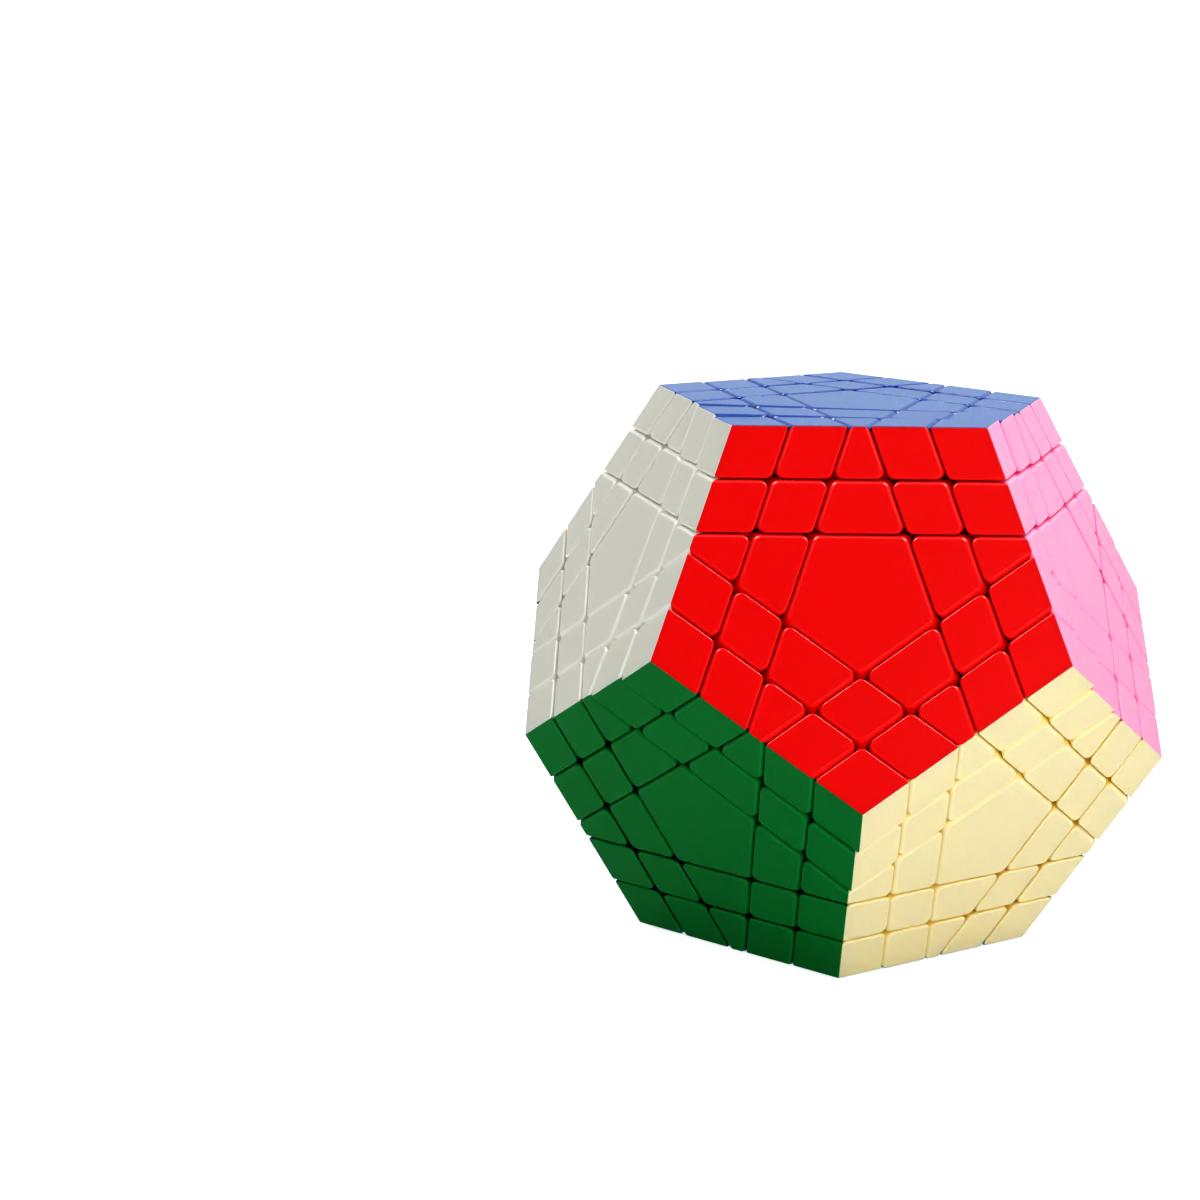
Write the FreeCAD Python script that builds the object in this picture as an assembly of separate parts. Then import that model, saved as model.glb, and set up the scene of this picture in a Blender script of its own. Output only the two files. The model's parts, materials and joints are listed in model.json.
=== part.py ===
import FreeCAD, Part
import math
import os

# A five-layer twisty puzzle in the shape of a regular dodecahedron, in millimetres.
# It stands on one face, +Z up, with its centre at the origin, where all twelve turning axes meet.
# Every cut between pieces is a surface of revolution about one face axis, so any layer can turn.

# Driving dimensions
EDGE = 48.0                # edge of the dodecahedron
FACE_CUT = 0.822           # depth of the first cut, as a share of the inradius
SLICE_CUT = 0.645          # depth of the second cut, as a share of the inradius
GAP = 0.30                 # running gap between neighbouring pieces
TILE_CORNER_RADIUS = 1.5   # rounding of the tiles' inner corners
CAP_DEPTH = 8.4            # how deep the coloured plastic of a centre piece goes
EDGE_SPLIT = 0.985         # an edge piece's caps end at this share of the inradius, along its own axis
CORNER_SPLIT = 1.060       # a corner piece's caps end at this share of the inradius, along its own axis

# The undercut mechanism: each layer is a half-space joined to a cone, and a wider cone in the foot zone
FOOT_RADIUS = 38.0         # outside radius of the zone that holds the feet
CORE_RADIUS = 26.0         # the ball that the feet ride on
CORE_INNER_RADIUS = 21.0
CORE_WINDOW_RADIUS = 4.5
FACE_CONE = 39.0           # degrees from the axis where the first cut's plane meets its cone
FACE_CONE_BASE = 43.0      # the same cone's angle at the foot zone
FACE_FOOT_CONE = 47.0      # angle of the first cut inside the foot zone
SLICE_CONE = 49.0
SLICE_CONE_BASE = 51.5
SLICE_FOOT_CONE = 54.8
NECK_INSET = 0.3           # how far the neck that joins foot and body stays inside both
NECK_REACH = 1.5           # how far the neck reaches to each side of the foot zone's outside radius

# Fastening of the twelve centre pieces
SCREW_RADIUS = 1.5
SCREW_HEAD_RADIUS = 2.7
SCREW_HEAD_HEIGHT = 2.0
SCREW_TIP = 15.0           # distance of the screw's tip from the puzzle's centre
SCREW_HOLE_RADIUS = 1.75
THREAD_BOSS_RADIUS = 4.0
SPRING_RADIUS = 2.45       # mean radius of the coil
SPRING_WIRE_RADIUS = 0.35
SPRING_TURNS = 6
WELL_RADIUS = 3.3          # the well in the hub that holds spring, washer and screw head
WELL_FLOOR = 32.0
WASHER_HEIGHT = 40.0       # distance of the washer's underside from the puzzle's centre
WASHER_THICKNESS = 0.6
RECESS_WIDTH = 2.0         # across the flats of the hexagon in the screw's head
RECESS_DEPTH = 1.2

# Derived sizes
GOLDEN = (1 + math.sqrt(5)) / 2
INRADIUS = EDGE * GOLDEN ** 2 / (2 * math.sqrt(3 - GOLDEN))
FACE_PLANE = FACE_CUT * INRADIUS
SLICE_PLANE = SLICE_CUT * INRADIUS
FAR = 100.0                # larger than the puzzle, for cutting tools
ORIGIN = FreeCAD.Vector(0, 0, 0)

# The twelve faces: name, azimuth in degrees, and whether they belong to the upper or lower ring
UPPER_RING = {"red": -90, "pink": -18, "light_green": 54, "yellow": 126, "white": 198}
LOWER_RING = {"green": -126, "cream": -54, "grey": 18, "orange": 90, "purple": 162}
TURNING = ("red", "purple", "grey")   # three faces with no piece in common


def face_axes():
    axes = {"blue": FreeCAD.Vector(0, 0, 1), "light_blue": FreeCAD.Vector(0, 0, -1)}
    for ring, height in ((UPPER_RING, 1), (LOWER_RING, -1)):
        for name, azimuth in ring.items():
            angle = math.radians(azimuth)
            axis = FreeCAD.Vector(2 * math.cos(angle), 2 * math.sin(angle), height)
            axes[name] = axis.normalize()
    return axes


AXES = face_axes()
FACES = list(AXES)


def adjacent(first, second):
    return first != second and AXES[first].dot(AXES[second]) > 0.4


def neighbours(face):
    return [other for other in FACES if adjacent(face, other)]


def right_handed(first, second, third):
    return AXES[first].cross(AXES[second]).dot(AXES[third]) > 0


# Only one piece of each kind is modelled, all round the corner of these three faces.
# Cutting tools turn their seams and poles away from it.
CORNER_FACES = ("blue", "red", "pink")
MODELLED_CORNER = AXES["blue"] + AXES["red"] + AXES["pink"]


def turned_by(shape, rotation):
    placed = shape.copy()
    placed.Placement = FreeCAD.Placement(ORIGIN, rotation).multiply(shape.Placement)
    return placed


def turned_to(shape, axis):
    """A shape made about +Z, turned to point along an axis."""
    away = axis * MODELLED_CORNER.dot(axis) - MODELLED_CORNER
    away.normalize()
    rotation = FreeCAD.Rotation(away, axis.cross(away), axis, "ZXY")
    return turned_by(shape, rotation)


def revolve_profile(points):
    wire = Part.makePolygon([FreeCAD.Vector(s, 0, z) for s, z in points + points[:1]])
    return Part.Face(wire).revolve(ORIGIN, FreeCAD.Vector(0, 0, 1), 360)


def dodecahedron():
    faces = []
    for face in FACES:
        around = neighbours(face)
        reference = AXES[around[0]]
        side = AXES[face].cross(reference)

        def turn(name):
            return math.atan2(AXES[name].dot(side), AXES[name].dot(reference)
                              - AXES[name].dot(AXES[face]) * AXES[face].dot(reference))

        around.sort(key=turn)
        corners = []
        for index in range(5):
            direction = AXES[face] + AXES[around[index]] + AXES[around[(index + 1) % 5]]
            direction.normalize()
            corners.append(direction * (INRADIUS / direction.dot(AXES[face])))
        faces.append(Part.Face(Part.makePolygon(corners + corners[:1])))
    return Part.Solid(Part.Shell(faces))


# Layers

def layer(plane, kink, base, inset):
    """One layer about +Z: everything above the plane, joined to a cone that widens below it."""
    kink_angle = math.radians(kink)
    base_angle = math.radians(base)
    top = (plane * math.tan(kink_angle), plane)
    bottom = (FOOT_RADIUS * math.sin(base_angle), FOOT_RADIUS * math.cos(base_angle))
    slope = (top[0] - bottom[0]) / (top[1] - bottom[1])
    half_angle = math.atan(slope)
    apex = bottom[1] - bottom[0] / slope + inset / math.sin(half_angle)
    height = plane + inset
    return revolve_profile([(0, apex), ((height - apex) * slope, height), (FAR, height),
                            (FAR, FAR), (0, FAR)])


def cone(angle, inset):
    """A cone about +Z with its tip at the origin, moved inwards by the inset."""
    half_angle = math.radians(angle)
    apex = inset / math.sin(half_angle)
    return revolve_profile([(0, apex), ((FAR - apex) * math.tan(half_angle), FAR), (0, FAR)])


def ball(radius):
    """A ball whose poles and seam lie away from the pieces that are modelled."""
    shape = Part.makeSphere(radius)
    shape.rotate(ORIGIN, FreeCAD.Vector(0, 1, 0), 90)
    shape.rotate(ORIGIN, FreeCAD.Vector(0, 0, 1), 18)
    return shape


def ball_shell(inner, outer):
    return ball(outer).cut(ball(inner))


def region(start, inside, outside):
    """The part of a solid inside some layers and outside others, each given as (face, layer)."""
    shape = start
    for face, tool in inside:
        shape = shape.common(turned_to(tool, AXES[face]))
    for face, tool in outside:
        shape = shape.cut(turned_to(tool, AXES[face]))
    return largest(shape)


def largest(shape):
    return max(shape.Solids, key=lambda solid: solid.Volume)


HALF_GAP = GAP / 2
FACE_IN = layer(FACE_PLANE, FACE_CONE, FACE_CONE_BASE, HALF_GAP)
FACE_OUT = layer(FACE_PLANE, FACE_CONE, FACE_CONE_BASE, -HALF_GAP)
SLICE_IN = layer(SLICE_PLANE, SLICE_CONE, SLICE_CONE_BASE, HALF_GAP)
SLICE_OUT = layer(SLICE_PLANE, SLICE_CONE, SLICE_CONE_BASE, -HALF_GAP)

FOOT_FACE_IN = cone(FACE_FOOT_CONE, HALF_GAP)
FOOT_FACE_OUT = cone(FACE_FOOT_CONE, -HALF_GAP)
FOOT_SLICE_IN = cone(SLICE_FOOT_CONE, HALF_GAP)
FOOT_SLICE_OUT = cone(SLICE_FOOT_CONE, -HALF_GAP)

NECK_FACE_IN = cone(FACE_CONE_BASE - 0.5, HALF_GAP + NECK_INSET)
NECK_FACE_OUT = cone(FACE_FOOT_CONE, -HALF_GAP - NECK_INSET)
NECK_SLICE_IN = cone(SLICE_CONE_BASE - 0.5, HALF_GAP + NECK_INSET)
NECK_SLICE_OUT = cone(SLICE_FOOT_CONE, -HALF_GAP - NECK_INSET)

BODY_ZONE = dodecahedron().cut(ball(FOOT_RADIUS + HALF_GAP))
FOOT_ZONE = ball_shell(CORE_RADIUS + GAP, FOOT_RADIUS - HALF_GAP)
NECK_ZONE = ball_shell(FOOT_RADIUS - NECK_REACH, FOOT_RADIUS + NECK_REACH)


# Pieces. Each kind is bounded by the cuts of the faces around it: the faces whose outer layer it
# belongs to, those whose second layer it belongs to, and those whose second cut it lies beyond.

FIRST, SECOND, THIRD = CORNER_FACES
FOURTH = "white"           # the other face that touches both blue and red
KINDS = {
    "centre": ((FIRST,), (), tuple(neighbours(FIRST))),
    "side_centre": ((FIRST,), (SECOND,), (THIRD, FOURTH)),
    "point_centre": ((FIRST,), (SECOND, THIRD), ()),
    "middle_edge": ((FIRST, SECOND), (), (THIRD, FOURTH)),
    "wing": ((FIRST, SECOND), (THIRD,), ()),
    "corner": ((FIRST, SECOND, THIRD), (), ()),
}


def whole_piece(outer, second, beyond):
    """One piece as one solid: its body under the tiles, its foot, and the neck between them."""
    def part(zone, face_in, face_out, slice_in, slice_out):
        inside = [(face, face_in) for face in outer] + [(face, slice_in) for face in second]
        outside = [(face, face_out) for face in second] + [(face, slice_out) for face in beyond]
        return region(zone, inside, outside)

    body = part(BODY_ZONE, FACE_IN, FACE_OUT, SLICE_IN, SLICE_OUT)
    foot = part(FOOT_ZONE, FOOT_FACE_IN, FOOT_FACE_OUT, FOOT_SLICE_IN, FOOT_SLICE_OUT)
    neck = part(NECK_ZONE, NECK_FACE_IN, NECK_FACE_OUT, NECK_SLICE_IN, NECK_SLICE_OUT)
    return largest(body.fuse([neck, foot]))


def walls(outer, second, beyond):
    """The flat side walls of a piece, each as an outward normal and its distance from the origin."""
    found = [(-AXES[face], -(FACE_PLANE + HALF_GAP)) for face in outer]
    found += [(-AXES[face], -(SLICE_PLANE + HALF_GAP)) for face in second]
    found += [(AXES[face], FACE_PLANE - HALF_GAP) for face in second]
    found += [(AXES[face], SLICE_PLANE - HALF_GAP) for face in beyond]
    return found


def meeting_point(planes):
    """Where three planes meet, each given as a unit normal and a distance."""
    (a, p), (b, q), (c, r) = planes
    return (b.cross(c) * p + c.cross(a) * q + a.cross(b) * r) * (1 / a.dot(b.cross(c)))


def corner_cutter(corner, first_normal, second_normal, top_normal):
    """A bar that rounds the edge where two walls meet, run down along that edge."""
    along = first_normal.cross(second_normal).normalize()
    if along.dot(top_normal) > 0:
        along = along * -1
    inward = (first_normal + second_normal).normalize() * -1
    sine = -inward.dot(first_normal)
    overlap = 0.03         # the round starts a little outside the walls, so it never just grazes them
    margin = 1.0
    centre = corner + inward * ((TILE_CORNER_RADIUS - overlap) / sine)
    start = centre + first_normal * TILE_CORNER_RADIUS
    middle = centre - inward * TILE_CORNER_RADIUS
    end = centre + second_normal * TILE_CORNER_RADIUS
    outline = [end, end + second_normal * margin, corner - inward * (margin / sine + margin),
               start + first_normal * margin, start]
    edges = [Part.Arc(start, middle, end).toShape()]
    edges += [Part.makeLine(a, b) for a, b in zip(outline, outline[1:])]
    face = Part.Face(Part.Wire(edges))
    above = 3.0
    depth = CAP_DEPTH + 4.0
    face.translate(along * -above)
    return face.extrude(along * (above + depth))


def rounded_corners(piece, outer, second, beyond):
    """The piece with the inner corners of each of its tiles rounded."""
    sides = walls(outer, second, beyond)
    for face in outer:
        top = (AXES[face], INRADIUS)
        near = [wall for wall in sides if abs(wall[0].dot(AXES[face])) < 0.9]
        for index, first_wall in enumerate(near):
            for second_wall in near[index + 1:]:
                if abs(first_wall[0].dot(second_wall[0])) > 0.9:
                    continue
                corner = meeting_point([top, first_wall, second_wall])
                in_piece = all(corner.dot(normal) < distance + 0.001 for normal, distance in near)
                on_face = all(corner.dot(AXES[other]) < INRADIUS + 0.001 for other in FACES)
                if in_piece and on_face:
                    cutter = corner_cutter(corner, first_wall[0], second_wall[0], AXES[face])
                    piece = largest(piece.cut(cutter))
    return piece


def half_space(direction, distance):
    """A block that fills everything beyond a distance along a direction."""
    block = Part.makeBox(2 * FAR, 2 * FAR, FAR, FreeCAD.Vector(-FAR, -FAR, distance))
    return turned_by(block, FreeCAD.Rotation(FreeCAD.Vector(0, 0, 1), direction))


def split_piece(piece, outer):
    """The coloured cap of each face of a piece, in the order of its faces, and the foot below."""
    direction = FreeCAD.Vector(0, 0, 0)
    for face in outer:
        direction = direction + AXES[face]
    direction.normalize()
    height = {1: INRADIUS - CAP_DEPTH, 2: EDGE_SPLIT * INRADIUS, 3: CORNER_SPLIT * INRADIUS}[len(outer)]
    above = half_space(direction, height)
    capped = piece.common(above)
    caps = []
    for face in outer:
        cap = capped
        for other in outer:
            if other != face:
                cap = cap.common(half_space((AXES[face] - AXES[other]).normalize(), 0))
        caps.append(largest(cap))
    return caps, largest(piece.cut(above))


# Fasteners, about +Z

def screw():
    shank = Part.makeCylinder(SCREW_RADIUS, WASHER_HEIGHT + WASHER_THICKNESS - SCREW_TIP,
                              FreeCAD.Vector(0, 0, SCREW_TIP))
    seat = WASHER_HEIGHT + WASHER_THICKNESS
    head = Part.makeCylinder(SCREW_HEAD_RADIUS, SCREW_HEAD_HEIGHT, FreeCAD.Vector(0, 0, seat))
    corner_radius = RECESS_WIDTH / math.sqrt(3)
    floor = seat + SCREW_HEAD_HEIGHT - RECESS_DEPTH
    corners = [FreeCAD.Vector(corner_radius * math.cos(math.radians(60 * step)),
                              corner_radius * math.sin(math.radians(60 * step)), floor)
               for step in range(6)]
    recess = Part.Face(Part.makePolygon(corners + corners[:1]))
    return shank.fuse(head).removeSplitter().cut(recess.extrude(FreeCAD.Vector(0, 0, 2 * RECESS_DEPTH)))


def washer():
    disc = Part.makeCylinder(SPRING_RADIUS + SPRING_WIRE_RADIUS, WASHER_THICKNESS,
                             FreeCAD.Vector(0, 0, WASHER_HEIGHT))
    return disc.cut(Part.makeCylinder(SCREW_RADIUS + 0.05, FAR))


def spring():
    """A compression spring between the floor of the hub's well and the washer."""
    end_gap = SPRING_WIRE_RADIUS + 0.05
    height = WASHER_HEIGHT - WELL_FLOOR - 2 * end_gap
    helix = Part.makeHelix(height / SPRING_TURNS, height, SPRING_RADIUS)
    section = Part.Wire(Part.makeCircle(SPRING_WIRE_RADIUS, FreeCAD.Vector(SPRING_RADIUS, 0, 0),
                                        FreeCAD.Vector(0, 1, 0)))
    coil = Part.Wire(helix.Edges).makePipeShell([section], True, True)
    coil.translate(FreeCAD.Vector(0, 0, WELL_FLOOR + end_gap))
    return coil


def hub_with_well(foot):
    """The foot of a centre piece, bored for its screw and with a well for spring and screw head."""
    well = Part.makeCylinder(WELL_RADIUS, FAR, FreeCAD.Vector(0, 0, WELL_FLOOR))
    hole = Part.makeCylinder(SCREW_HOLE_RADIUS, FAR)
    return foot.cut(well).cut(hole)


def core():
    """The hollow ball in the middle, with a threaded boss for each centre piece."""
    shape = ball_shell(CORE_INNER_RADIUS, CORE_RADIUS)
    boss_start = SCREW_TIP - 2.0
    for face in FACES:
        boss = Part.makeCylinder(THREAD_BOSS_RADIUS, CORE_INNER_RADIUS + 2.0 - boss_start,
                                 FreeCAD.Vector(0, 0, boss_start))
        shape = shape.fuse(turned_to(boss, AXES[face]))
    for face in FACES:
        hole = Part.makeCylinder(SCREW_RADIUS + 0.01, FAR, FreeCAD.Vector(0, 0, SCREW_TIP - 0.5))
        shape = shape.cut(turned_to(hole, AXES[face]))
    for corner in corner_triples():
        direction = (AXES[corner[0]] + AXES[corner[1]] + AXES[corner[2]]).normalize()
        window = Part.makeCylinder(CORE_WINDOW_RADIUS, FAR, FreeCAD.Vector(0, 0, CORE_INNER_RADIUS - 4.0))
        shape = shape.cut(turned_by(window, FreeCAD.Rotation(FreeCAD.Vector(0, 0, 1), direction)))
    return largest(shape)


# Places

def corner_triples():
    """The three faces round each of the twenty corners, once each, right-handed."""
    triples = []
    for a in FACES:
        for b in neighbours(a):
            for c in neighbours(a):
                if adjacent(b, c) and right_handed(a, b, c) and FACES.index(a) < min(
                        FACES.index(b), FACES.index(c)):
                    triples.append((a, b, c))
    return triples


def places(kind):
    """Every place that a kind of piece has, as the faces that take the part of the modelled ones."""
    triples = corner_triples()
    turned = [(a, b, c) for x, y, z in triples for a, b, c in ((x, y, z), (y, z, x), (z, x, y))]
    if kind == "centre":
        return [(face, neighbours(face)[0]) for face in FACES]
    if kind == "side_centre":
        return [(a, b) for a in FACES for b in neighbours(a)]
    if kind == "middle_edge":
        return [(a, b) for a in FACES for b in neighbours(a) if FACES.index(a) < FACES.index(b)]
    if kind == "corner":
        return triples
    return turned


def frame_of(first, second):
    x = AXES[first]
    y = AXES[second] - x * x.dot(AXES[second])
    return FreeCAD.Rotation(x, y, x.cross(y), "XYZ")


def moved_to(shape, place):
    rotation = frame_of(place[0], place[1]).multiply(frame_of(FIRST, SECOND).inverted())
    return turned_by(shape, rotation)


def body_of(outer, second):
    """The body that a piece belongs to when only the turning faces' layers are told apart."""
    for face in TURNING:
        if face in outer:
            return face + "_face"
        if face in second:
            return face + "_slice"
    return "fixed"


def puzzle():
    """All nodes of the puzzle, each as a list of solids."""
    nodes = {}
    for kind, (outer, second, beyond) in KINDS.items():
        piece = rounded_corners(whole_piece(outer, second, beyond), outer, second, beyond)
        caps, foot = split_piece(piece, outer)
        if kind == "centre":
            foot = hub_with_well(foot)
        for place in places(kind):
            names = dict(zip(CORNER_FACES, place))
            outer_here = [names[face] for face in outer]
            second_here = [names[face] for face in second]
            body = body_of(outer_here, second_here)
            for cap, colour in zip(caps, outer_here):
                nodes.setdefault(f"{body}_{colour}_caps", []).append(moved_to(cap, place))
            part_name = "hubs" if kind == "centre" else "feet"
            nodes.setdefault(f"{body}_{part_name}", []).append(moved_to(foot, place))
    for name, shape in (("screws", screw()), ("washers", washer()), ("springs", spring())):
        nodes["tension_" + name] = [turned_to(shape, AXES[face]) for face in FACES]
    nodes["core"] = [core()]
    return nodes


os.makedirs("parts", exist_ok=True)
for name, solids in puzzle().items():
    node = solids[0] if len(solids) == 1 else Part.makeCompound(solids)
    node.exportStep(f"parts/{name}.step")
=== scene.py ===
import json
import math
import random

import bmesh
import bpy
from mathutils import Matrix, Vector


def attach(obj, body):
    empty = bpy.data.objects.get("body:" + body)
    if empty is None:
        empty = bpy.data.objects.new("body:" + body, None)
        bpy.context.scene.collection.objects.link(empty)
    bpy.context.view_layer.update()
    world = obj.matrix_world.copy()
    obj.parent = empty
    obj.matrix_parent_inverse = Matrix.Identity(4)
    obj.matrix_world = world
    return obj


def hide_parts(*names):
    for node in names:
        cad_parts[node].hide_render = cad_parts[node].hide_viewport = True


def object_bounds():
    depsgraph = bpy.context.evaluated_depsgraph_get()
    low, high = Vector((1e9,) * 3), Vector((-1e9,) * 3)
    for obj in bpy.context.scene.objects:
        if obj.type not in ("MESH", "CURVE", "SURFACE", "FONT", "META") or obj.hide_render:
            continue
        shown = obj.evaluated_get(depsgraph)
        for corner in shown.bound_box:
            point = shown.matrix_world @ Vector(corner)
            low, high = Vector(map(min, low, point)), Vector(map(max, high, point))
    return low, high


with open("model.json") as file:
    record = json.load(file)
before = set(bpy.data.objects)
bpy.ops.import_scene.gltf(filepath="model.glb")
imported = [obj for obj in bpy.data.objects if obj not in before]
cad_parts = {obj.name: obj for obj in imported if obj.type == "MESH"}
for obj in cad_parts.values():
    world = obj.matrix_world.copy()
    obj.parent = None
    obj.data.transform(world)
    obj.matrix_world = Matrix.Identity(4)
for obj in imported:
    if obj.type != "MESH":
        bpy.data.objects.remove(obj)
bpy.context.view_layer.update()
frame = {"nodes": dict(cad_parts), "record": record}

# The puzzle's own sizes in millimetres, the same as the CAD part's
MM = 0.001
EDGE = 48.0
FACE_CUT = 0.822
SLICE_CUT = 0.645
GAP = 0.30                 # between the walls of neighbouring tiles
TILE_CORNER_RADIUS = 1.5
CAP_DEPTH = 8.4
EDGE_SPLIT = 0.985
CORNER_SPLIT = 1.060
FOOT_RADIUS = 38.0
FACE_CONE = 39.0
FACE_CONE_BASE = 43.0
SLICE_CONE = 49.0
SLICE_CONE_BASE = 51.5
GOLDEN = (1 + math.sqrt(5)) / 2
INRADIUS = EDGE * GOLDEN ** 2 / (2 * math.sqrt(3 - GOLDEN))
FACE_PLANE = FACE_CUT * INRADIUS
SLICE_PLANE = SLICE_CUT * INRADIUS
HALF_GAP = GAP / 2

# The moulded tiles' rims and outlines, in millimetres
RIM_HEIGHT = 0.64          # depth of the rounding round a tile
RIM_WIDTH = 0.62           # how far the rounding reaches in from a side wall
RIM_STEPS = 6              # rings in the rounding
EDGE_RADIUS = 0.55         # rounding of the dodecahedron's own edges
EDGE_CORNER_RADIUS = 0.55  # rounding of a tile's corners on those edges
MITRE_CORNER = 0.5         # that rounding's share where three faces meet
SMALLEST_RADIUS = 0.12     # a corner's rounding is never less
HALF_EDGE_TURN = 31.717    # half the angle that two neighbouring faces turn, in degrees
DEPTHS = (1.0, 1.5, 2.0, 2.5, 3.0, 3.6, 4.2, 4.9, 5.6, 6.4, 7.3, 9.4)   # rings down the walls
SIDE_POINTS = 6            # points along a side between two corners
ARC_POINTS = 6             # steps round a corner
SHADED_FROM = 0.2          # depth where a wall starts to take the painted glow and shade of the gaps
SHADED_OVER = 0.8          # depth over which it takes it
SHARP_ANGLE = 38           # edges sharper than this stay sharp, in degrees

# Limits of the calculation
ADJACENT_COSINE = 0.4      # neighbouring faces' axes have a cosine of 0.447
PARALLEL_SINE = 0.1        # sides nearer to parallel than this have no corner
SLOPE_STEP = 0.01
CORNER_ROUNDS = 8
SIDE_ROUNDS = 4
CUT_TOLERANCE = 0.0001
WELD_DISTANCE = 0.001

UPPER_RING = {"red": -90, "pink": -18, "light_green": 54, "yellow": 126, "white": 198}
LOWER_RING = {"green": -126, "cream": -54, "grey": 18, "orange": 90, "purple": 162}
TURNING = ("red", "purple", "grey")


def face_axes():
    axes = {"blue": Vector((0, 0, 1)), "light_blue": Vector((0, 0, -1))}
    for ring, height in ((UPPER_RING, 1), (LOWER_RING, -1)):
        for name, azimuth in ring.items():
            angle = math.radians(azimuth)
            axes[name] = Vector((2 * math.cos(angle), 2 * math.sin(angle), height)).normalized()
    return axes


AXES = face_axes()
FACES = list(AXES)


def adjacent(first, second):
    return first != second and AXES[first].dot(AXES[second]) > ADJACENT_COSINE


def neighbours(face):
    return [other for other in FACES if adjacent(face, other)]


def outwards(faces):
    """The direction of a piece that carries these faces."""
    return sum((AXES[face] for face in faces), Vector()).normalized()


# Tiles

class Layer:
    """A half-space beyond a plane, joined to a cone that widens below it."""

    def __init__(self, plane, kink, base):
        kink_angle = math.radians(kink)
        base_angle = math.radians(base)
        top = (plane * math.tan(kink_angle), plane)
        bottom = (FOOT_RADIUS * math.sin(base_angle), FOOT_RADIUS * math.cos(base_angle))
        self.plane = plane
        self.slope = (top[0] - bottom[0]) / (top[1] - bottom[1])
        self.apex = bottom[1] - bottom[0] / self.slope
        self.cosine = math.cos(math.atan(self.slope))

    def depth(self, point, axis):
        """How far a point is inside the layer, negative outside."""
        z = point.dot(axis)
        radius = math.sqrt(max(point.length_squared - z * z, 0.0))
        in_cone = ((z - self.apex) * self.slope - radius) * self.cosine
        return max(z - self.plane, in_cone)


FACE_LAYER = Layer(FACE_PLANE, FACE_CONE, FACE_CONE_BASE)
SLICE_LAYER = Layer(SLICE_PLANE, SLICE_CONE, SLICE_CONE_BASE)
FIRST, SECOND, THIRD, FOURTH = "blue", "red", "pink", "white"
KINDS = {
    "centre": ((FIRST,), (), tuple(neighbours(FIRST))),
    "side_centre": ((FIRST,), (SECOND,), (THIRD, FOURTH)),
    "point_centre": ((FIRST,), (SECOND, THIRD), ()),
    "middle_edge": ((FIRST, SECOND), (), (THIRD, FOURTH)),
    "wing": ((FIRST, SECOND), (THIRD,), ()),
    "corner": ((FIRST, SECOND, THIRD), (), ()),
}


class Side:
    """One side of a tile, as a function that grows outwards: a wall along a cut, or a mitre."""

    def __init__(self, kind, face, sign, offset, layer=None):
        self.kind = kind
        self.face = face
        self.sign = sign
        self.offset = offset
        self.layer = layer

    def value(self, point, own):
        if self.kind == "mitre":
            return point.dot((AXES[self.face] - AXES[own]).normalized())
        return self.sign * self.layer.depth(point, AXES[self.face]) + self.offset

    def normal(self, own):
        """The outward direction in the face's plane, for the flat part near the surface."""
        flat = AXES[self.face] - AXES[own] * AXES[self.face].dot(AXES[own])
        return flat.normalized() * (1 if self.kind == "mitre" else self.sign)


def sides_of(outer, second, beyond, own):
    found = []
    for face in outer:
        if face == own:
            continue
        found.append(Side("wall", face, -1, HALF_GAP, FACE_LAYER))
        found.append(Side("mitre", face, 1, 0.0))
    for face in second:
        found.append(Side("wall", face, -1, HALF_GAP, SLICE_LAYER))
        found.append(Side("wall", face, 1, HALF_GAP, FACE_LAYER))
    for face in beyond:
        found.append(Side("wall", face, 1, HALF_GAP, SLICE_LAYER))
    return found


class FacePlane:
    """Plane coordinates on one face, and on the planes below it."""

    def __init__(self, own):
        self.axis = AXES[own]
        self.own = own
        reference = AXES[neighbours(own)[0]]
        self.x = (reference - self.axis * reference.dot(self.axis)).normalized()
        self.y = self.axis.cross(self.x)

    def point(self, at, below):
        return self.axis * (INRADIUS - below) + self.x * at[0] + self.y * at[1]

    def flat(self, direction):
        return Vector((direction.dot(self.x), direction.dot(self.y)))


def slope_at(side, plane, at, below):
    """A side's value at a place, as a distance in the plane, and its outward direction there."""
    here = side.value(plane.point(at, below), plane.own)
    dx = side.value(plane.point(at + Vector((SLOPE_STEP, 0)), below), plane.own) - here
    dy = side.value(plane.point(at + Vector((0, SLOPE_STEP)), below), plane.own) - here
    gradient = Vector((dx, dy)) / SLOPE_STEP
    size = gradient.length
    return here / size, gradient / size


def meet(first, second, plane, below, insets, start):
    """Where two sides cross when each is moved in by its inset."""
    at = start.copy()
    for _ in range(CORNER_ROUNDS):
        value_a, normal_a = slope_at(first, plane, at, below)
        value_b, normal_b = slope_at(second, plane, at, below)
        error_a = -insets[0] - value_a
        error_b = -insets[1] - value_b
        determinant = normal_a.x * normal_b.y - normal_a.y * normal_b.x
        at = at + Vector(((error_a * normal_b.y - error_b * normal_a.y) / determinant,
                          (normal_a.x * error_b - normal_b.x * error_a) / determinant))
    return at


def onto(side, plane, below, inset, start):
    """A place moved onto a side that is moved in by its inset."""
    at = start.copy()
    for _ in range(SIDE_ROUNDS):
        value, normal = slope_at(side, plane, at, below)
        at = at - normal * (value + inset)
    return at


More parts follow.
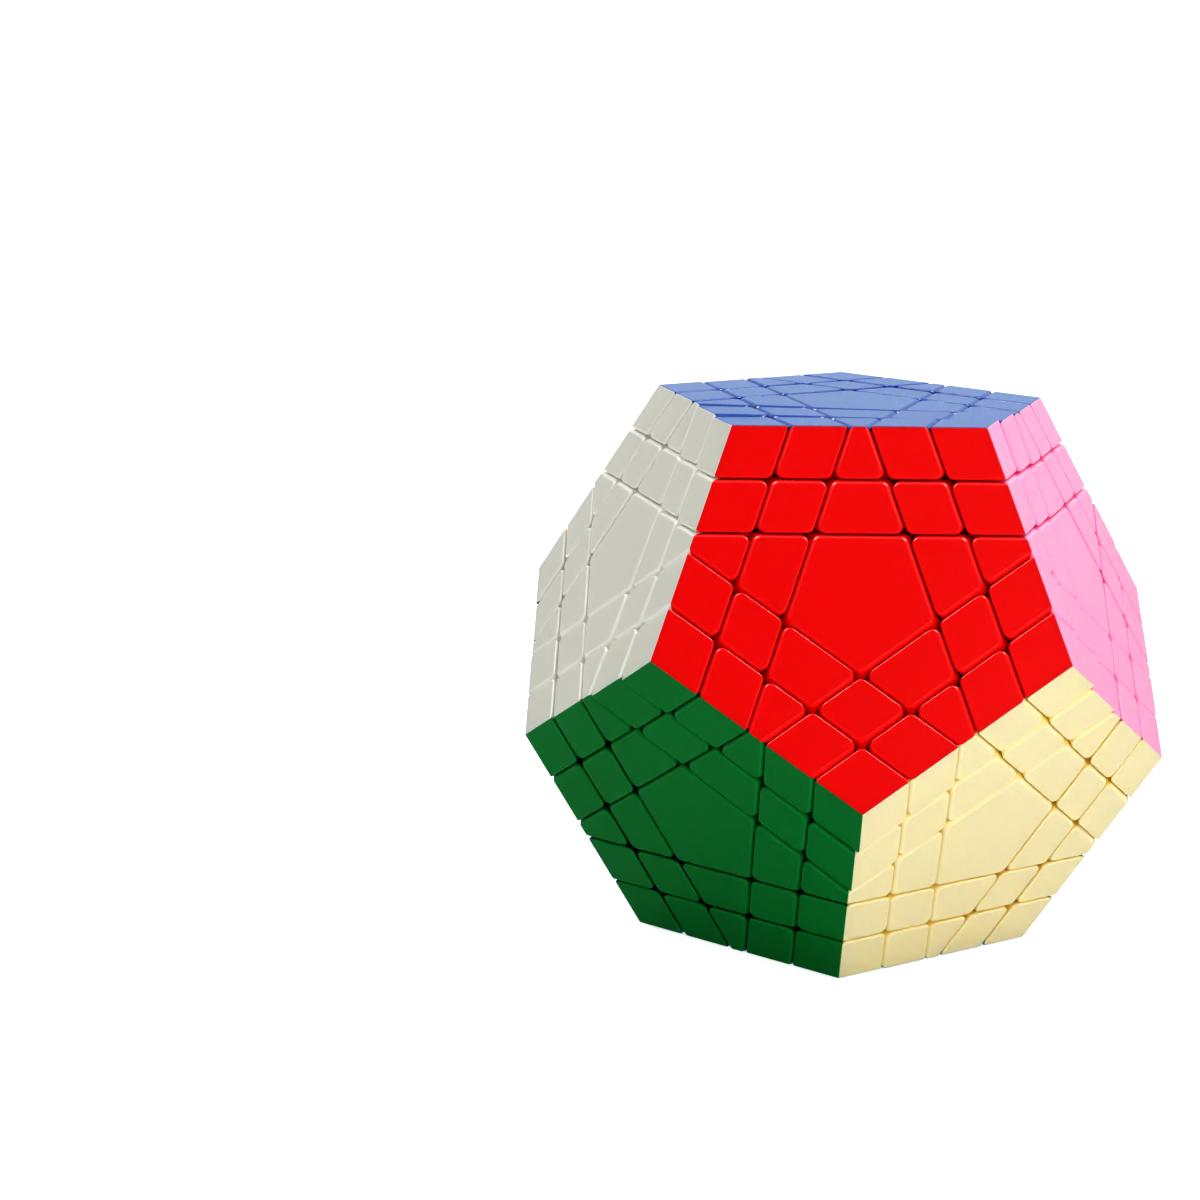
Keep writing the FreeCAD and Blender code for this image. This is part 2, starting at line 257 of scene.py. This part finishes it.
def ordered_corners(sides, plane):
    """The sides round a tile in order, each with its corner towards the next one."""
    corners = []
    for i, a in enumerate(sides):
        for b in sides[i + 1:]:
            normal_a, normal_b = plane.flat(a.normal(plane.own)), plane.flat(b.normal(plane.own))
            if abs(normal_a.x * normal_b.y - normal_a.y * normal_b.x) < PARALLEL_SINE:
                continue
            at = meet_flat(a, b, normal_a, normal_b, plane)
            if all(flat_value(side, plane, at) < SLOPE_STEP for side in sides):
                corners.append((at, a, b))
    middle = sum((c[0] for c in corners), Vector((0, 0))) / len(corners)
    corners.sort(key=lambda c: math.atan2(c[0].y - middle.y, c[0].x - middle.x))
    return corners


def flat_value(side, plane, at):
    """How far a place on the face is outside a side's flat part, in the plane."""
    point = plane.point(at, 0.0)
    if side.kind == "mitre":
        direction = (AXES[side.face] - AXES[plane.own]).normalized()
        return point.dot(direction) / plane.flat(direction).length
    height = side.sign * (point.dot(AXES[side.face]) - side.layer.plane) + side.offset
    return height / plane.flat(AXES[side.face]).length


def meet_flat(a, b, normal_a, normal_b, plane):
    """Where the flat parts of two sides cross on the face."""
    centre = Vector((0, 0))
    error_a, error_b = -flat_value(a, plane, centre), -flat_value(b, plane, centre)
    determinant = normal_a.x * normal_b.y - normal_a.y * normal_b.x
    return Vector(((error_a * normal_b.y - error_b * normal_a.y) / determinant,
                   (normal_a.x * error_b - normal_b.x * error_a) / determinant))


def edge_inset(below):
    """Inset from a mitre that rounds an edge of the dodecahedron."""
    if below >= EDGE_RADIUS:
        return 0.0
    slope = math.tan(math.radians(HALF_EDGE_TURN))
    turned = math.acos(1 - below / EDGE_RADIUS)
    return max(0.0, slope * (EDGE_RADIUS - below) - EDGE_RADIUS * math.sin(turned))


def ring(corners, plane, below, wall_inset):
    """One closed outline of a tile, at a depth below the face."""
    def inset(side):
        return wall_inset if side.kind == "wall" else edge_inset(below)

    arcs = []
    for index, (at, a, b) in enumerate(corners):
        previous = corners[index - 1]
        entering = a if a in previous[1:] else b
        leaving = b if entering is a else a
        both_walls = a.kind == "wall" and b.kind == "wall"
        both_mitres = a.kind == "mitre" and b.kind == "mitre"
        radius = EDGE_CORNER_RADIUS
        if both_walls:
            radius = TILE_CORNER_RADIUS
        elif both_mitres:
            radius = EDGE_CORNER_RADIUS * MITRE_CORNER
        small = max(radius - max(inset(entering), inset(leaving)), SMALLEST_RADIUS)
        centre = meet(entering, leaving, plane, below,
                      (inset(entering) + small, inset(leaving) + small), at)
        _, from_normal = slope_at(entering, plane, centre, below)
        _, to_normal = slope_at(leaving, plane, centre, below)
        start_angle = math.atan2(from_normal.y, from_normal.x)
        turn = (math.atan2(to_normal.y, to_normal.x) - start_angle) % (2 * math.pi)
        arc = []
        for step in range(ARC_POINTS + 1):
            angle = start_angle + turn * step / ARC_POINTS
            arc.append(centre + Vector((math.cos(angle), math.sin(angle))) * small)
        arcs.append((arc, leaving))
    outline = []
    for index, (arc, side) in enumerate(arcs):
        outline += arc
        end = arcs[(index + 1) % len(arcs)][0][0]
        for step in range(1, SIDE_POINTS + 1):
            between = arc[-1].lerp(end, step / (SIDE_POINTS + 1))
            outline.append(onto(side, plane, below, inset(side), between))
    return outline


def tile_mesh(kind, own):
    """The coloured cap of one face of one kind of piece, as a closed bmesh in millimetres."""
    outer, second, beyond = KINDS[kind]
    plane = FacePlane(own)
    corners = ordered_corners(sides_of(outer, second, beyond, own), plane)
    mesh = bmesh.new()
    # Mask of the painted highlight along the rounded rims (a painted shade on blue)
    rim = mesh.verts.layers.float.new("rim")
    # Depth mask of the painted glow and shade on the walls between the tiles
    deep = mesh.verts.layers.float.new("deep")
    levels = []
    for step in range(RIM_STEPS + 1):
        angle = math.radians(90 * step / RIM_STEPS)
        levels.append((RIM_HEIGHT * (1 - math.cos(angle)), RIM_WIDTH * (1 - math.sin(angle))))
    levels += [(below, 0.0) for below in DEPTHS]
    rings = []
    for number, (below, wall_inset) in enumerate(levels):
        outline = ring(corners, plane, below, wall_inset)
        verts = [mesh.verts.new(plane.point(at, below)) for at in outline]
        for vert in verts:
            vert[rim] = math.sin(math.pi * min(number / RIM_STEPS, 1.0))
            vert[deep] = min(max(below - SHADED_FROM, 0.0) / SHADED_OVER, 1.0)
        rings.append(verts)
    count = len(rings[0])
    mesh.faces.new(rings[0])
    for upper, lower in zip(rings, rings[1:]):
        for k in range(count):
            mesh.faces.new((upper[k], lower[k], lower[(k + 1) % count], upper[(k + 1) % count]))
    mesh.faces.new(list(reversed(rings[-1])))
    direction = outwards(outer)
    height = {1: INRADIUS - CAP_DEPTH, 2: EDGE_SPLIT * INRADIUS, 3: CORNER_SPLIT * INRADIUS}[len(outer)]
    bmesh.ops.bisect_plane(mesh, geom=mesh.verts[:] + mesh.edges[:] + mesh.faces[:],
                           dist=CUT_TOLERANCE, plane_co=direction * height, plane_no=-direction,
                           clear_outer=True)
    rims = [edge for edge in mesh.edges if edge.is_boundary]
    bmesh.ops.holes_fill(mesh, edges=rims, sides=0)
    bmesh.ops.remove_doubles(mesh, verts=mesh.verts[:], dist=WELD_DISTANCE)
    bmesh.ops.recalc_face_normals(mesh, faces=mesh.faces[:])
    return mesh


# Places, the same as the CAD part's

def right_handed(first, second, third):
    return AXES[first].cross(AXES[second]).dot(AXES[third]) > 0


def corner_triples():
    return [(a, b, c) for a in FACES for b in neighbours(a) for c in neighbours(a)
            if adjacent(b, c) and right_handed(a, b, c)
            and FACES.index(a) < min(FACES.index(b), FACES.index(c))]


def places(kind):
    triples = corner_triples()
    if kind == "centre":
        return [(face, neighbours(face)[0]) for face in FACES]
    if kind == "side_centre":
        return [(a, b) for a in FACES for b in neighbours(a)]
    if kind == "middle_edge":
        return [(a, b) for a in FACES for b in neighbours(a) if FACES.index(a) < FACES.index(b)]
    if kind == "corner":
        return triples
    return [turned for x, y, z in triples for turned in ((x, y, z), (y, z, x), (z, x, y))]


def frame_of(first, second):
    x = AXES[first]
    y = (AXES[second] - x * x.dot(AXES[second])).normalized()
    return Matrix((x, y, x.cross(y))).transposed()


def place_names(kind, place):
    """Which face takes the part of each of the modelled faces at a place."""
    rotation = frame_of(place[0], place[1]) @ frame_of(FIRST, SECOND).inverted()
    names = {}
    for model in set(sum((list(group) for group in KINDS[kind]), [])):
        turned = rotation @ AXES[model]
        names[model] = max(FACES, key=lambda face: AXES[face].dot(turned))
    return names, rotation


def body_of(outer, second):
    for face in TURNING:
        if face in outer:
            return face + "_face"
        if face in second:
            return face + "_slice"
    return "fixed"


# Small play of the pieces inside their running gaps, and of the layers round their clicks
PLAY_SEED = 12
PIECE_PLAY = 0.020         # largest shift of a piece in each direction, in millimetres
PIECE_LIFT = 0.07          # largest shift of a piece outwards or inwards, in millimetres
PIECE_TILT = 0.0016        # largest tilt of a piece about each axis, in radians
LAYER_PLAY = {"red_face": 1.4, "red_slice": 0.55, "purple_face": 0.3, "grey_face": -0.25}   # degrees
random.seed(PLAY_SEED)


def played(direction, body):
    """How far a piece and its layer are out of line, as a matrix."""
    shift = Vector([random.uniform(-PIECE_PLAY, PIECE_PLAY) for _ in range(3)])
    shift += direction * random.uniform(-PIECE_LIFT, PIECE_LIFT)
    tilt = [random.uniform(-PIECE_TILT, PIECE_TILT) for _ in range(3)]
    centre = direction * INRADIUS
    rotation = (Matrix.Rotation(tilt[0], 4, "X") @ Matrix.Rotation(tilt[1], 4, "Y")
                @ Matrix.Rotation(tilt[2], 4, "Z"))
    layer = Matrix.Identity(4)
    if body in LAYER_PLAY:
        layer = Matrix.Rotation(math.radians(LAYER_PLAY[body]), 4, AXES[body.split("_")[0]])
    return layer @ Matrix.Translation(centre + shift) @ rotation @ Matrix.Translation(-centre)


def all_tiles():
    """Every cap as (node name, bmesh, matrix), in millimetres."""
    tiles = []
    for kind, (outer, second, _) in KINDS.items():
        shapes = {own: tile_mesh(kind, own) for own in outer}
        for place in places(kind):
            names, rotation = place_names(kind, place)
            outer_here = [names[face] for face in outer]
            second_here = [names[face] for face in second]
            body = body_of(outer_here, second_here)
            matrix = played(outwards(outer_here), body) @ rotation.to_4x4()
            for own, colour in zip(outer, outer_here):
                tiles.append((f"{body}_{colour}_caps", shapes[own], matrix))
    return tiles


# Materials
PAINTED_RIM_SHADING = 0.80                 # how much of the rims' painted colour they take: a painted highlight along the rims, on blue a painted shade
LEAST_SCATTER = 0.08       # how far a colour that a plastic absorbs still travels in it
SCATTER_REACH = 0.0014     # how far light travels inside a plastic, in metres
TARNISH = 0.72
PLASTIC_ROUGHNESS = 0.33
PLASTIC_SCATTER = 0.6
PLASTIC_GLOSS = 0.11
BLUE_GLOSS = 0.16          # the blue plastic is a little glossier


def nodes_of(material):
    material.use_nodes = True
    tree = material.node_tree
    return tree, tree.nodes["Principled BSDF"]


def new_node(tree, kind, **values):
    node = tree.nodes.new(kind)
    for key, value in values.items():
        setattr(node, key, value)
    return node


def noise(tree, scale, detail):
    """A noise in the object's own place, the same size on every piece."""
    place = new_node(tree, "ShaderNodeTexCoord")
    texture = new_node(tree, "ShaderNodeTexNoise")
    texture.inputs["Scale"].default_value = scale
    texture.inputs["Detail"].default_value = detail
    tree.links.new(place.outputs["Object"], texture.inputs["Vector"])
    return texture.outputs["Fac"]


def spread(tree, source, source_range, result_range):
    """A value moved from one range to another."""
    node = new_node(tree, "ShaderNodeMapRange")
    node.inputs["From Min"].default_value, node.inputs["From Max"].default_value = source_range
    node.inputs["To Min"].default_value, node.inputs["To Max"].default_value = result_range
    tree.links.new(source, node.inputs["Value"])
    return node.outputs["Result"]


def bumps(tree, source, strength, distance, shader):
    """A height that roughens the shader's surface, its distance in metres."""
    bump = new_node(tree, "ShaderNodeBump")
    bump.inputs["Strength"].default_value = strength
    bump.inputs["Distance"].default_value = distance
    tree.links.new(source, bump.inputs["Height"])
    tree.links.new(bump.outputs["Normal"], shader.inputs["Normal"])


def plastic(name, colour, deep, painted_rim_colour, inside, roughness, scatter, gloss_level):
    """Moulded plastic with a fine spark-eroded grain, slight mottling, a painted highlight along its
    rims (a painted shade on blue) and painted glow and shade on the walls between the tiles.
    """
    material = bpy.data.materials.new(name)
    tree, shader = nodes_of(material)
    links = tree.links
    cloud = noise(tree, scale=60.0, detail=4.0)
    grain = noise(tree, scale=4200.0, detail=2.0)

    mottle = new_node(tree, "ShaderNodeMix", data_type="RGBA")
    mottle.inputs["A"].default_value = (*colour, 1)
    mottle.inputs["B"].default_value = (*deep, 1)
    links.new(spread(tree, cloud, (0.3, 0.7), (0.0, 0.35)), mottle.inputs["Factor"])

    speck = new_node(tree, "ShaderNodeMix", data_type="RGBA", blend_type="MULTIPLY")
    speck.inputs["Factor"].default_value = 1.0
    links.new(mottle.outputs["Result"], speck.inputs["A"])
    links.new(spread(tree, grain, (0.35, 0.65), (0.965, 1.015)), speck.inputs["B"])

    # Painted highlight along the tiles' rounded rims, lighter than the face where light catches them;
    # on blue the rim colour is darker, a painted shade
    rim = new_node(tree, "ShaderNodeAttribute", attribute_name="rim")
    painted_rim_share = new_node(tree, "ShaderNodeMath", operation="MULTIPLY")
    links.new(rim.outputs["Fac"], painted_rim_share.inputs[0])
    painted_rim_share.inputs[1].default_value = PAINTED_RIM_SHADING
    painted_rims = new_node(tree, "ShaderNodeMix", data_type="RGBA")
    painted_rims.inputs["B"].default_value = (*painted_rim_colour, 1)
    links.new(painted_rim_share.outputs["Value"], painted_rims.inputs["Factor"])
    links.new(speck.outputs["Result"], painted_rims.inputs["A"])

    # Painted glow and shade between the tiles: the walls below the rim take a gap colour, a painted
    # glow on cream, pink and white, a painted shade on green, blue, grey and purple
    below = new_node(tree, "ShaderNodeAttribute", attribute_name="deep")
    wall = new_node(tree, "ShaderNodeMix", data_type="RGBA")
    wall.inputs["B"].default_value = (*inside, 1)
    links.new(below.outputs["Fac"], wall.inputs["Factor"])
    links.new(painted_rims.outputs["Result"], wall.inputs["A"])
    links.new(wall.outputs["Result"], shader.inputs["Base Color"])

    gloss = spread(tree, grain, (0.3, 0.7), (roughness - 0.05, roughness + 0.06))
    links.new(gloss, shader.inputs["Roughness"])
    bumps(tree, grain, 0.08, 0.00003, shader)

    shader.inputs["Subsurface Weight"].default_value = scatter
    strongest = max(inside)
    reach = [max(channel / strongest, LEAST_SCATTER) for channel in inside]
    shader.inputs["Subsurface Radius"].default_value = reach
    shader.inputs["Subsurface Scale"].default_value = SCATTER_REACH
    shader.inputs["Specular IOR Level"].default_value = gloss_level
    return material


def metal(name, colour, roughness, scale):
    """Plated or drawn metal with fine tool marks and slight tarnish."""
    material = bpy.data.materials.new(name)
    tree, shader = nodes_of(material)
    links = tree.links
    marks = noise(tree, scale, detail=5.0)
    tint = new_node(tree, "ShaderNodeMix", data_type="RGBA")
    tint.inputs["A"].default_value = (*colour, 1)
    tint.inputs["B"].default_value = (*(TARNISH * channel for channel in colour), 1)
    links.new(marks, tint.inputs["Factor"])
    links.new(tint.outputs["Result"], shader.inputs["Base Color"])
    gloss = spread(tree, marks, (0.0, 1.0), (roughness - 0.08, roughness + 0.12))
    links.new(gloss, shader.inputs["Roughness"])
    bumps(tree, marks, 0.2, 0.00005, shader)
    shader.inputs["Metallic"].default_value = 1.0
    return material


# Each plastic's base colour, its deeper shade for the mottling, the colour of its rims as a painted
# highlight (on blue a painted shade), and the colour of the walls between the tiles as painted glow and
# shade there, which also sets how far each channel scatters, all linear
COLOURS = {
    "blue": ((0.006, 0.105, 0.36), (0.004, 0.085, 0.31), (0.001, 0.062, 0.33), (0.001, 0.036, 0.25)),
    "red": ((0.74, 0.0, 0.0), (0.69, 0.0, 0.0), (0.79, 0.012, 0.010), (0.74, 0.0, 0.0)),
    "white": ((0.585, 0.585, 0.515), (0.55, 0.55, 0.48), (0.85, 0.85, 0.80), (0.92, 0.92, 0.87)),
    "pink": ((0.88, 0.30, 0.49), (0.84, 0.26, 0.45), (0.91, 0.38, 0.56), (0.95, 0.20, 0.47)),
    "green": ((0.0, 0.200, 0.036), (0.0, 0.168, 0.028), (0.002, 0.225, 0.05), (0.0, 0.05, 0.008)),
    "cream": ((0.82, 0.74, 0.46), (0.79, 0.70, 0.42), (0.86, 0.79, 0.52), (0.97, 0.79, 0.24)),
    "yellow": ((0.85, 0.60, 0.01), (0.78, 0.52, 0.005), (0.87, 0.64, 0.05), (0.88, 0.57, 0.008)),
    "light_green": ((0.22, 0.60, 0.04), (0.18, 0.53, 0.03), (0.28, 0.65, 0.08),
                    (0.19, 0.62, 0.02)),
    "grey": ((0.26, 0.27, 0.27), (0.22, 0.23, 0.23), (0.31, 0.32, 0.32), (0.20, 0.21, 0.21)),
    "orange": ((0.86, 0.20, 0.008), (0.80, 0.16, 0.005), (0.88, 0.26, 0.035), (0.88, 0.16, 0.004)),
    "purple": ((0.13, 0.03, 0.33), (0.10, 0.02, 0.27), (0.18, 0.07, 0.39), (0.10, 0.015, 0.28)),
    "light_blue": ((0.14, 0.50, 0.78), (0.11, 0.44, 0.72), (0.20, 0.56, 0.81), (0.09, 0.46, 0.80)),
}
PLASTICS = {name: plastic(name + "_plastic", *shades, PLASTIC_ROUGHNESS, PLASTIC_SCATTER,
                          BLUE_GLOSS if name == "blue" else PLASTIC_GLOSS)
            for name, shades in COLOURS.items()}
MECHANISM = plastic("mechanism_plastic", (0.016, 0.016, 0.017), (0.010, 0.010, 0.011),
                    (0.05, 0.05, 0.05), (0.016, 0.016, 0.017), roughness=0.42, scatter=0.0,
                    gloss_level=0.16)
ZINC = metal("zinc_steel", (0.72, 0.73, 0.75), 0.30, 900.0)
SPRING = metal("spring_steel", (0.50, 0.50, 0.52), 0.36, 1500.0)


def build_caps():
    """One object for each CAD node of caps, made of its tiles."""
    groups = {}
    for node, shape, matrix in all_tiles():
        groups.setdefault(node, []).append((shape, matrix))
    for node, members in groups.items():
        joined = bmesh.new()
        # Masks of the painted rim highlight and of the painted glow and shade between the tiles
        for layer in ("rim", "deep"):
            joined.verts.layers.float.new(layer)
        for shape, matrix in members:
            piece = bpy.data.meshes.new("piece")
            shape.to_mesh(piece)
            piece.transform(Matrix.Scale(MM, 4) @ matrix)
            joined.from_mesh(piece)
            bpy.data.meshes.remove(piece)
        mesh = bpy.data.meshes.new(node + "_tiles")
        joined.to_mesh(mesh)
        joined.free()
        for polygon in mesh.polygons:
            polygon.use_smooth = True
        mesh.set_sharp_from_angle(angle=math.radians(SHARP_ANGLE))
        colour = node[:-len("_caps")].split("_", 1)[1]
        for body in ("face_", "slice_"):
            colour = colour.removeprefix(body)
        mesh.materials.append(PLASTICS[colour])
        tiles = bpy.data.objects.new(node.replace("_caps", "_tiles"), mesh)
        bpy.context.scene.collection.objects.link(tiles)
        weights = tiles.modifiers.new("face_weights", "WEIGHTED_NORMAL")
        weights.keep_sharp = True
        weights.weight = 100
        body = next(name for name, nodes in frame["record"]["behaviour"]["bodies"].items()
                    if node in nodes)
        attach(tiles, body)
        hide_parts(node)


build_caps()
for name, node in frame["nodes"].items():
    finish = MECHANISM
    if name in ("tension_screws", "tension_washers"):
        finish = ZINC
    if name == "tension_springs":
        finish = SPRING
    node.data.materials.clear()
    node.data.materials.append(finish)


# Studio
FLOOR_HALF = 6.0           # metres
FLOOR_CLEARANCE = 0.00005  # under the lowest tile, in metres
FLOOR_GLOW = 0.50


def floor_material(seen_glow):
    """Pale paper with a faint fibre, overexposed where it is seen directly."""
    material = bpy.data.materials.new("paper")
    tree, shader = nodes_of(material)
    bumps(tree, noise(tree, scale=400.0, detail=2.0), 0.05, 0.0002, shader)
    path = new_node(tree, "ShaderNodeLightPath")
    glow = new_node(tree, "ShaderNodeMath", operation="MULTIPLY")
    tree.links.new(path.outputs["Is Camera Ray"], glow.inputs[0])
    glow.inputs[1].default_value = seen_glow
    tree.links.new(glow.outputs["Value"], shader.inputs["Emission Strength"])
    shader.inputs["Base Color"].default_value = (0.77, 0.77, 0.77, 1)
    shader.inputs["Roughness"].default_value = 0.85
    shader.inputs["Specular IOR Level"].default_value = 0.1
    shader.inputs["Emission Color"].default_value = (1, 1, 1, 1)
    return material


floor_mesh = bpy.data.meshes.new("floor")
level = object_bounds()[0].z - FLOOR_CLEARANCE
corners = [(x * FLOOR_HALF, y * FLOOR_HALF, level) for x, y in ((-1, -1), (1, -1), (1, 1), (-1, 1))]
floor_mesh.from_pydata(corners, [], [(0, 1, 2, 3)])
floor = bpy.data.objects.new("floor", floor_mesh)
bpy.context.scene.collection.objects.link(floor)
floor_mesh.materials.append(floor_material(FLOOR_GLOW))


def studio_world(front, back):
    """Soft light that is dim in front of the puzzle and bright behind it, before a white backdrop."""
    world = bpy.data.worlds.new("studio")
    bpy.context.scene.world = world
    world.use_nodes = True
    tree = world.node_tree
    backdrop = tree.nodes["Background"]
    room = new_node(tree, "ShaderNodeBackground")
    place = new_node(tree, "ShaderNodeTexCoord")
    split = new_node(tree, "ShaderNodeSeparateXYZ")
    tree.links.new(place.outputs["Generated"], split.inputs["Vector"])
    fade = new_node(tree, "ShaderNodeMapRange", interpolation_type="SMOOTHSTEP")
    fade.inputs["From Min"].default_value = -0.3
    fade.inputs["From Max"].default_value = 0.6
    fade.inputs["To Min"].default_value = front
    fade.inputs["To Max"].default_value = back
    tree.links.new(split.outputs["Y"], fade.inputs["Value"])
    tree.links.new(fade.outputs["Result"], room.inputs["Strength"])
    path = new_node(tree, "ShaderNodeLightPath")
    mix = new_node(tree, "ShaderNodeMixShader")
    tree.links.new(path.outputs["Is Camera Ray"], mix.inputs["Fac"])
    tree.links.new(room.outputs["Background"], mix.inputs[1])
    tree.links.new(backdrop.outputs["Background"], mix.inputs[2])
    tree.links.new(mix.outputs["Shader"], tree.nodes["World Output"].inputs["Surface"])
    backdrop.inputs["Color"].default_value = (1, 1, 1, 1)
    backdrop.inputs["Strength"].default_value = 1.0
    room.inputs["Color"].default_value = (1, 1, 1, 1)


studio_world(0.09, 1.05)


def area_light(name, place, size, power, glints_only=False):
    """A round soft box that points at the puzzle."""
    light = bpy.data.lights.new(name, "AREA")
    light.shape = "DISK"
    light.size = size
    light.energy = power
    lamp = bpy.data.objects.new(name, light)
    lamp.location = place
    lamp.rotation_euler = (-Vector(place)).to_track_quat("-Z", "Y").to_euler()
    lamp.visible_diffuse = not glints_only
    bpy.context.scene.collection.objects.link(lamp)


area_light("key", (0.65, -1.25, 0.60), 0.7, 9.2)
area_light("fill", (-0.9, -1.1, 0.35), 0.8, 2.2)
area_light("top_left", (-0.52, -0.08, 1.15), 0.40, 2.6)
area_light("top_right", (0.62, -0.08, 1.10), 0.40, 3.0)
area_light("glint_left", (-0.50, 0.02, 1.10), 0.48, 38.0, glints_only=True)
area_light("glint_right", (0.58, 0.02, 1.05), 0.48, 38.0, glints_only=True)

# Camera: its direction round the puzzle and above it in degrees, and the rest in metres
CAMERA_AZIMUTH = -1.27
CAMERA_ELEVATION = 12.72
CAMERA_DISTANCE = 0.5625
CAMERA_ROLL = 1.71
CAMERA_RIGHT = -0.04925
CAMERA_UP = 0.01079
LENS = 82.9

azimuth, elevation = math.radians(CAMERA_AZIMUTH), math.radians(CAMERA_ELEVATION)
forward = Vector((math.sin(azimuth) * math.cos(elevation), math.cos(azimuth) * math.cos(elevation),
                  -math.sin(elevation)))
right = forward.cross(Vector((0, 0, 1))).normalized()
up = right.cross(forward)
roll = math.radians(CAMERA_ROLL)
rolled_right = right * math.cos(roll) + up * math.sin(roll)
rolled_up = up * math.cos(roll) - right * math.sin(roll)
camera_data = bpy.data.cameras.new("camera")
camera_data.lens = LENS
camera_data.sensor_width = 36.0
camera_data.clip_start = 0.01
camera_data.clip_end = 50.0
camera = bpy.data.objects.new("camera", camera_data)
place = right * CAMERA_RIGHT + up * CAMERA_UP - forward * CAMERA_DISTANCE
camera.matrix_world = Matrix.Translation(place) @ Matrix(
    (rolled_right, rolled_up, -forward)).transposed().to_4x4()
bpy.context.scene.collection.objects.link(camera)
bpy.context.scene.camera = camera
bpy.context.scene.cycles.diffuse_bounces = 10   # light has to find its way out of the narrow gaps
bpy.context.scene.view_settings.view_transform = "Standard"
bpy.context.scene.view_settings.look = "High Contrast"
